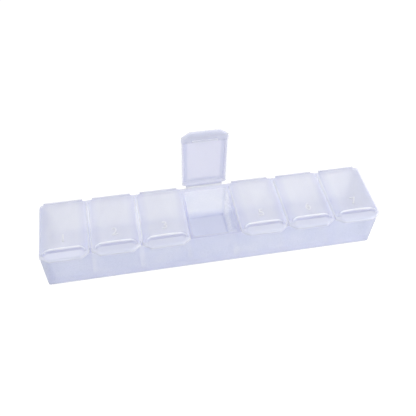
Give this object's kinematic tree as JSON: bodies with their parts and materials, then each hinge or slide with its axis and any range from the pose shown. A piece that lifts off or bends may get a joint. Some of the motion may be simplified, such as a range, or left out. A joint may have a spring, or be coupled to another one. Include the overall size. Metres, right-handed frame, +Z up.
{
  "type": "weekly pill organizer",
  "caption": "Long frosted plastic pill box: a row of open wells, each under its own snap lid on a living hinge, with a thumb tab in front.",
  "frame": {"origin": "centre of the tray's flat base", "axes": "+X along the row of wells to the right, +Y to the hinged back, +Z up; the thumb tabs face -Y"},
  "size_m": [0.1492, 0.0361, 0.0525],
  "materials": {
    "tray_plastic": "frosted translucent polypropylene",
    "lid_plastic": "frosted translucent polypropylene, smoother on top",
    "hinge_plastic": "thin flexed polypropylene"
  },
  "bodies": {
    "tray": {"tray": "tray_plastic", "hinge_web_1": "hinge_plastic", "hinge_web_2": "hinge_plastic", "hinge_web_3": "hinge_plastic", "hinge_web_4": "hinge_plastic", "hinge_web_5": "hinge_plastic", "hinge_web_6": "hinge_plastic", "hinge_web_7": "hinge_plastic"},
    "lid_1": {"lid_1": "lid_plastic"},
    "lid_2": {"lid_2": "lid_plastic"},
    "lid_3": {"lid_3": "lid_plastic"},
    "lid_4": {"lid_4": "lid_plastic"},
    "lid_5": {"lid_5": "lid_plastic"},
    "lid_6": {"lid_6": "lid_plastic"},
    "lid_7": {"lid_7": "lid_plastic"}
  },
  "joints": [
    {"name": "lid_1_hinge", "type": "hinge", "parent": "tray", "child": "lid_1", "pos_m": [-0.0642, 0.01559, 0.01992], "axis": [-1, 0, 0], "range_deg": [0, 180], "deforming": ["hinge_web_1"]},
    {"name": "lid_2_hinge", "type": "hinge", "parent": "tray", "child": "lid_2", "pos_m": [-0.0428, 0.01559, 0.01992], "axis": [-1, 0, 0], "range_deg": [0, 180], "deforming": ["hinge_web_2"]},
    {"name": "lid_3_hinge", "type": "hinge", "parent": "tray", "child": "lid_3", "pos_m": [-0.0214, 0.01559, 0.01992], "axis": [-1, 0, 0], "range_deg": [0, 180], "deforming": ["hinge_web_3"]},
    {"name": "lid_4_hinge", "type": "hinge", "parent": "tray", "child": "lid_4", "pos_m": [0, 0.01559, 0.01992], "axis": [-1, 0, 0], "range_deg": [-91.5, 88.5], "deforming": ["hinge_web_4"]},
    {"name": "lid_5_hinge", "type": "hinge", "parent": "tray", "child": "lid_5", "pos_m": [0.0214, 0.01559, 0.01992], "axis": [-1, 0, 0], "range_deg": [0, 180], "deforming": ["hinge_web_5"]},
    {"name": "lid_6_hinge", "type": "hinge", "parent": "tray", "child": "lid_6", "pos_m": [0.0428, 0.01559, 0.01992], "axis": [-1, 0, 0], "range_deg": [0, 180], "deforming": ["hinge_web_6"]},
    {"name": "lid_7_hinge", "type": "hinge", "parent": "tray", "child": "lid_7", "pos_m": [0.0642, 0.01559, 0.01992], "axis": [-1, 0, 0], "range_deg": [0, 180], "deforming": ["hinge_web_7"]}
  ]
}
